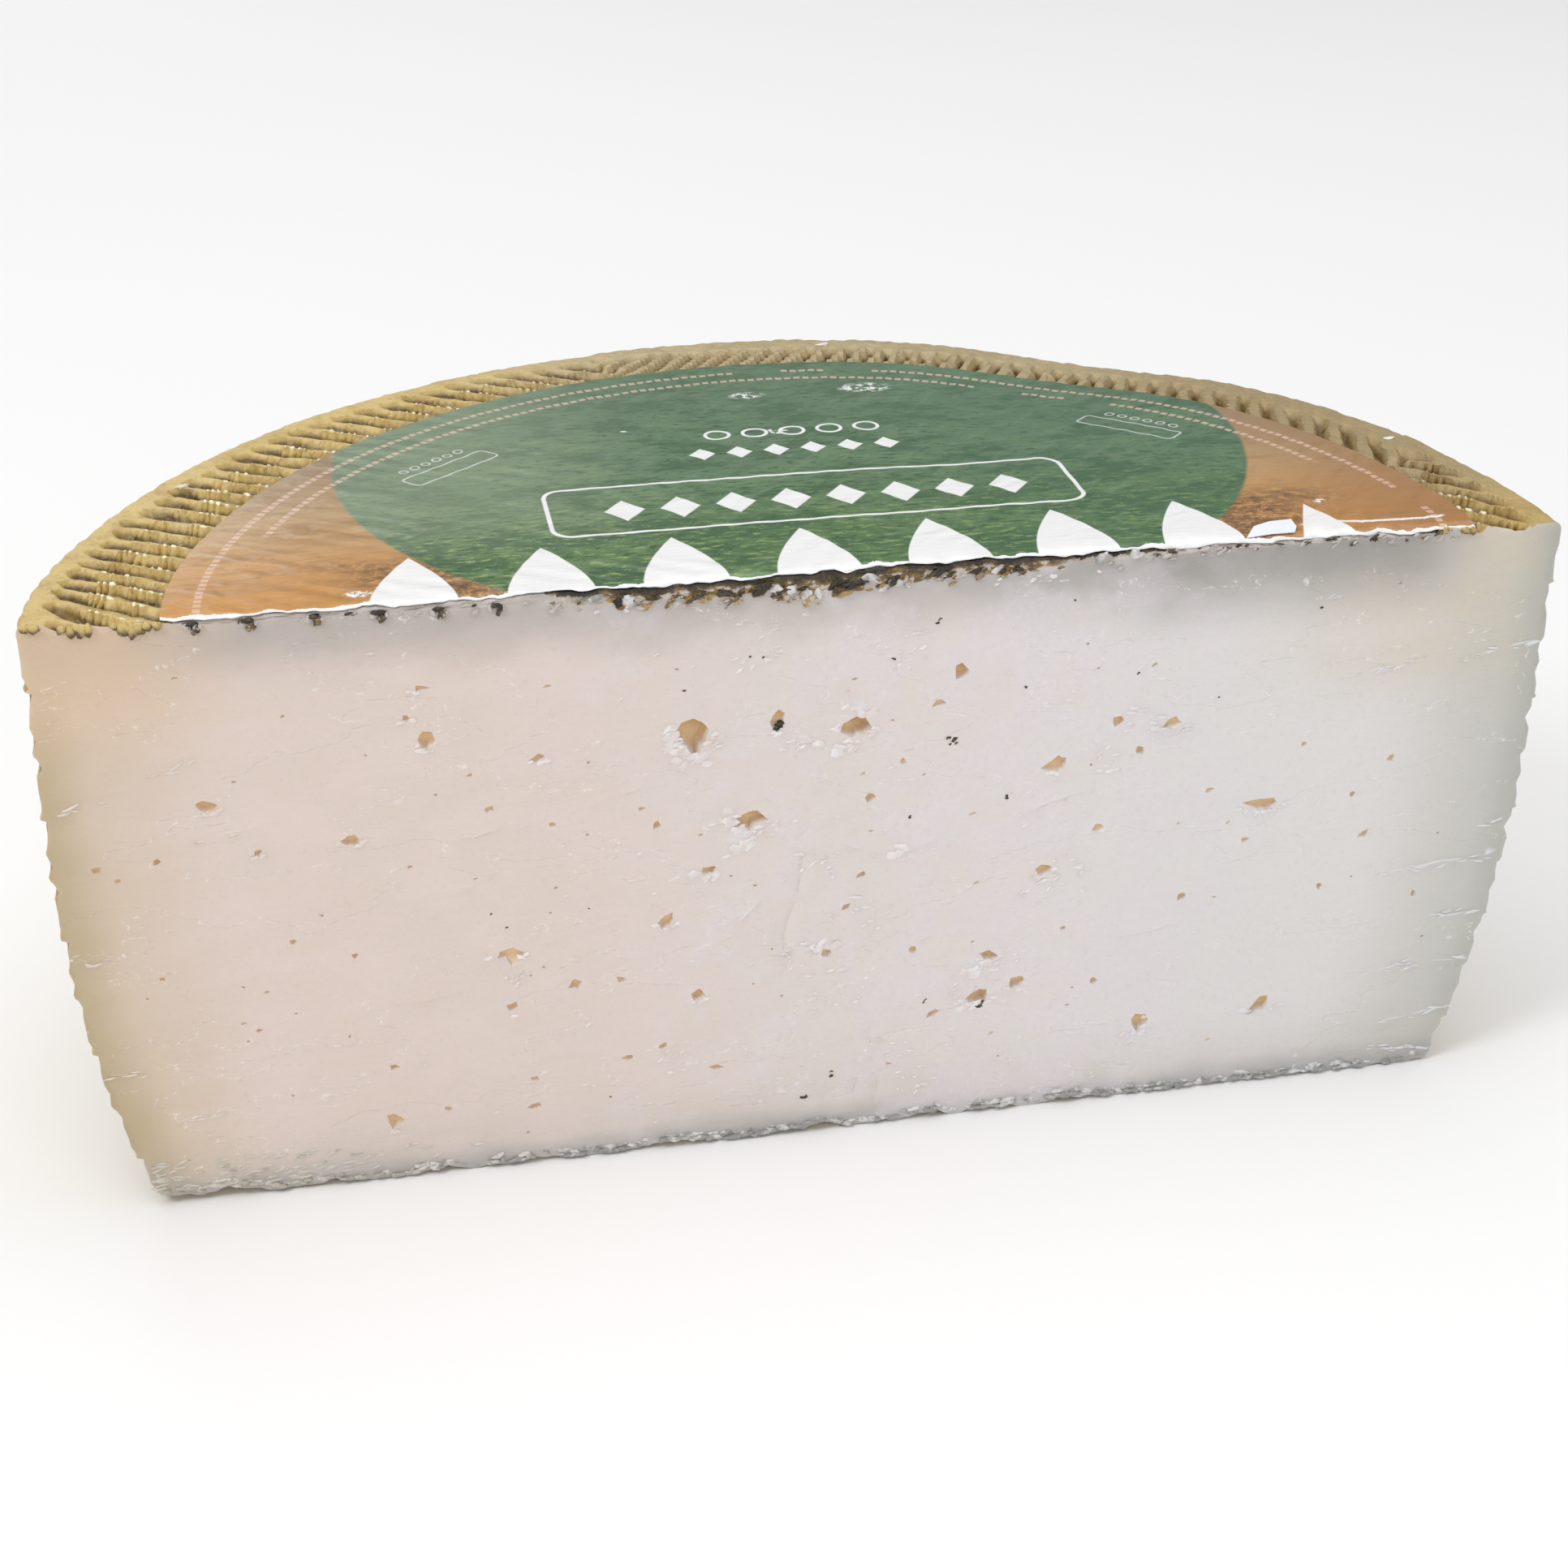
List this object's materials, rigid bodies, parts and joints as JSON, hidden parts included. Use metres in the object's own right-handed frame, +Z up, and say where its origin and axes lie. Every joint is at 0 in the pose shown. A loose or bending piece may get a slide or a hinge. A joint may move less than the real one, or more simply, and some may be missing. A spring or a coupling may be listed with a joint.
{
  "type": "half wheel of semi-cured mixed milk cheese",
  "caption": "Half a cheese wheel standing on its base, cut side to the front, with a plaited wall, a ridged crown, small eyes and half of a round paper label on top.",
  "frame": {"origin": "under the middle of the bounding box, on the surface that the half wheel stands on", "axes": "+X along the cut, to the right as seen from the front; -Y out of the cut side; +Z up, along the wheel's axis"},
  "size_m": [0.2118, 0.1066, 0.0923],
  "materials": {
    "cheese": "waxy, slightly translucent ivory paste inside a golden olive rind with a soft sheen",
    "label": "glossy printed paper, green in the middle and tan to orange-brown at the sides, with a white torn edge"
  },
  "bodies": {
    "root": {"cheese": "cheese", "label": "label"}
  },
  "joints": []
}
